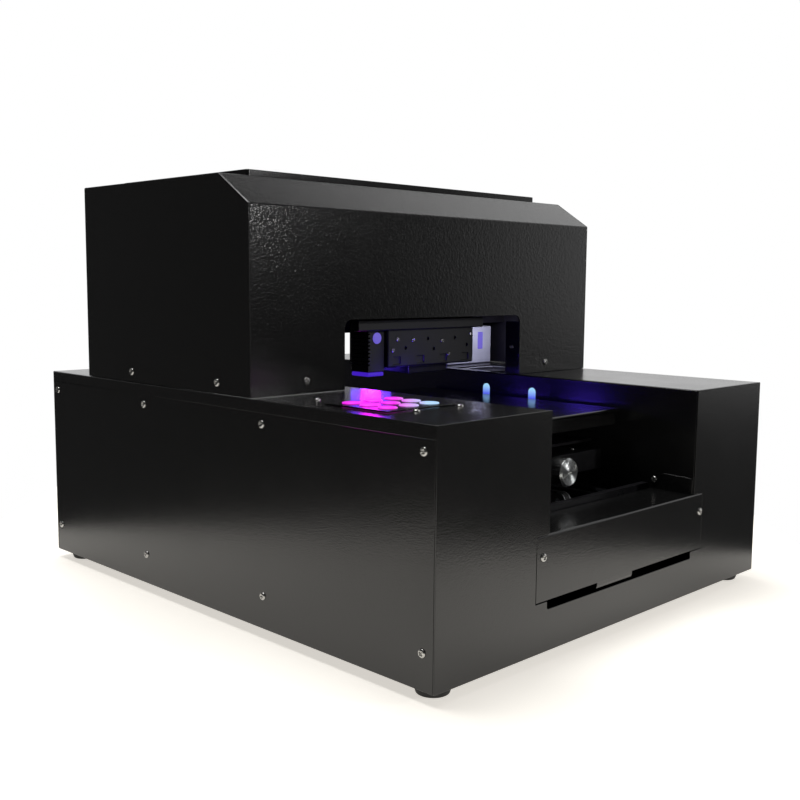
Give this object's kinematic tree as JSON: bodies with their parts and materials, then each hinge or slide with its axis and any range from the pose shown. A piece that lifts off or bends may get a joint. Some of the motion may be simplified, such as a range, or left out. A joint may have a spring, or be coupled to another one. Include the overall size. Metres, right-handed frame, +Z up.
{
  "type": "flatbed uv printer",
  "caption": "Desktop flatbed UV printer: a sliding, height-adjustable table runs through a low base under a hood that holds the print carriage and UV lamp.",
  "frame": {"origin": "centre of the base's footprint, on the surface that the feet stand on", "axes": "+Z up, the operator's front faces -Y, the keypad is on the -X side, the table slides along Y"},
  "size_m": [0.5438, 0.6418, 0.449],
  "materials": {
    "powder_coat": "black fine-textured powder coat, semi-gloss",
    "dark_steel": "black oxide and paint, satin",
    "steel": "ground or nickel-plated",
    "aluminium": "turned, satin",
    "rubber": "moulded, matt",
    "black_plastic": "moulded, fine texture",
    "grey_plastic": "moulded, satin",
    "key_plastic": "translucent white, glows pale blue in UV light",
    "lamp_housing": "anodised dark, lit violet",
    "light_window": "clear, back-lit bluish white"
  },
  "bodies": {
    "chassis": {"access_cover": "powder_coat", "base_tray": "powder_coat", "fan_frame": "black_plastic", "foot_front_left": "rubber", "foot_front_right": "rubber", "foot_rear_left": "rubber", "foot_rear_right": "rubber", "front_panel": "powder_coat", "hood_shell": "powder_coat", "ink_tanks": "grey_plastic", "keypad_plate": "black_plastic", "left_deck_cover": "powder_coat", "left_side_panel": "powder_coat", "lid_hinge": "steel", "power_inlet": "black_plastic", "rail_bed": "dark_steel", "rear_panel": "powder_coat", "right_deck_cover": "powder_coat", "right_side_panel": "powder_coat", "sensor_bar": "light_window", "service_station": "grey_plastic", "suction_pump": "grey_plastic", "x_beam": "dark_steel", "x_belt": "rubber", "x_motor": "dark_steel", "x_rail": "steel", "y_belt": "rubber", "y_motor": "dark_steel", "y_rail_left": "steel", "y_rail_right": "steel"},
    "table": {"carriage_frame": "dark_steel", "bearing_left": "aluminium", "bearing_right": "aluminium", "knob_bracket": "dark_steel"},
    "platen": {"platen": "dark_steel", "lift_frame": "dark_steel", "lift_screw": "steel"},
    "height_knob": {"height_knob": "aluminium", "knob_shaft": "steel"},
    "lift_nut": {"lift_nut": "aluminium"},
    "y_drive_pulley": {"y_drive_pulley": "aluminium"},
    "y_idler_pulley": {"y_idler_pulley": "aluminium"},
    "print_carriage": {"head_carriage": "black_plastic", "print_head": "steel", "uv_lamp": "lamp_housing"},
    "x_drive_pulley": {"x_drive_pulley": "aluminium"},
    "x_idler_pulley": {"x_idler_pulley": "aluminium"},
    "cap": {"cap_sled": "grey_plastic"},
    "lid": {"hood_lid": "powder_coat"},
    "power_switch": {"power_switch": "black_plastic"},
    "fan": {"fan_rotor": "black_plastic"},
    "key_1": {"key_1": "key_plastic"},
    "key_2": {"key_2": "key_plastic"},
    "key_3": {"key_3": "key_plastic"},
    "key_4": {"key_4": "key_plastic"},
    "key_5": {"key_5": "key_plastic"},
    "key_6": {"key_6": "key_plastic"},
    "key_7": {"key_7": "key_plastic"},
    "key_8": {"key_8": "key_plastic"},
    "key_9": {"key_9": "key_plastic"}
  },
  "joints": [
    {"name": "table_slide", "type": "slide", "parent": "chassis", "child": "table", "axis": [0, 1, 0], "range_m": [-0.075, 0.235]},
    {"name": "platen_lift", "type": "slide", "parent": "table", "child": "platen", "axis": [0, 0, 1], "range_m": [-0.013, 0.01]},
    {"name": "height_knob_turn", "type": "hinge", "parent": "table", "child": "height_knob", "pos_m": [0, -0.218, 0.1485], "axis": [0, -1, 0], "range_deg": [-1171, 901]},
    {"name": "lift_nut_turn", "type": "hinge", "parent": "table", "child": "lift_nut", "pos_m": [0, -0.075, 0.1485], "axis": [0, 0, 1], "range_deg": [-901, 1171]},
    {"name": "y_drive_turn", "type": "hinge", "parent": "chassis", "child": "y_drive_pulley", "pos_m": [0, 0.262, 0.118], "axis": [1, 0, 0], "range_deg": [-1497, 478]},
    {"name": "y_idler_turn", "type": "hinge", "parent": "chassis", "child": "y_idler_pulley", "pos_m": [0, -0.241, 0.118], "axis": [1, 0, 0], "range_deg": [-1497, 478]},
    {"name": "carriage_slide", "type": "slide", "parent": "chassis", "child": "print_carriage", "axis": [1, 0, 0], "range_m": [-0.145, 0.16]},
    {"name": "x_drive_turn", "type": "hinge", "parent": "chassis", "child": "x_drive_pulley", "pos_m": [0.235, 0.02, 0.34], "axis": [0, 1, 0], "range_deg": [-1019, 924]},
    {"name": "x_idler_turn", "type": "hinge", "parent": "chassis", "child": "x_idler_pulley", "pos_m": [-0.235, 0.02, 0.34], "axis": [0, 1, 0], "range_deg": [-1019, 924]},
    {"name": "cap_lift", "type": "slide", "parent": "chassis", "child": "cap", "axis": [0, 0, 1], "range_m": [0, 0.006]},
    {"name": "lid_hinge", "type": "hinge", "parent": "chassis", "child": "lid", "pos_m": [0, 0.2165, 0.4465], "axis": [-1, 0, 0], "range_deg": [0, 85]},
    {"name": "power_switch_rock", "type": "hinge", "parent": "chassis", "child": "power_switch", "pos_m": [0.16, 0.313, 0.06], "axis": [0, 0, 1], "range_deg": [0, 14]},
    {"name": "fan_spin", "type": "hinge", "parent": "chassis", "child": "fan", "pos_m": [-0.197, 0.3055, 0.147], "axis": [0, 1, 0], "continuous": true},
    {"name": "key_1_press", "type": "slide", "parent": "chassis", "child": "key_1", "axis": [0, 0, -1], "range_m": [0, 0.0009], "stiffness_N_per_m": 400},
    {"name": "key_2_press", "type": "slide", "parent": "chassis", "child": "key_2", "axis": [0, 0, -1], "range_m": [0, 0.0009], "stiffness_N_per_m": 400},
    {"name": "key_3_press", "type": "slide", "parent": "chassis", "child": "key_3", "axis": [0, 0, -1], "range_m": [0, 0.0009], "stiffness_N_per_m": 400},
    {"name": "key_4_press", "type": "slide", "parent": "chassis", "child": "key_4", "axis": [0, 0, -1], "range_m": [0, 0.0009], "stiffness_N_per_m": 400},
    {"name": "key_5_press", "type": "slide", "parent": "chassis", "child": "key_5", "axis": [0, 0, -1], "range_m": [0, 0.0009], "stiffness_N_per_m": 400},
    {"name": "key_6_press", "type": "slide", "parent": "chassis", "child": "key_6", "axis": [0, 0, -1], "range_m": [0, 0.0009], "stiffness_N_per_m": 400},
    {"name": "key_7_press", "type": "slide", "parent": "chassis", "child": "key_7", "axis": [0, 0, -1], "range_m": [0, 0.0009], "stiffness_N_per_m": 400},
    {"name": "key_8_press", "type": "slide", "parent": "chassis", "child": "key_8", "axis": [0, 0, -1], "range_m": [0, 0.0009], "stiffness_N_per_m": 400},
    {"name": "key_9_press", "type": "slide", "parent": "chassis", "child": "key_9", "axis": [0, 0, -1], "range_m": [0, 0.0009], "stiffness_N_per_m": 400}
  ],
  "couplings": [
    {"joint": "height_knob_turn", "follows": "platen_lift", "rad_per_m": 1570.8},
    {"joint": "lift_nut_turn", "follows": "platen_lift", "rad_per_m": -1570.8},
    {"joint": "y_drive_turn", "follows": "table_slide", "rad_per_m": -111.11},
    {"joint": "y_idler_turn", "follows": "table_slide", "rad_per_m": -111.11},
    {"joint": "x_drive_turn", "follows": "carriage_slide", "rad_per_m": -111.11},
    {"joint": "x_idler_turn", "follows": "carriage_slide", "rad_per_m": -111.11}
  ]
}
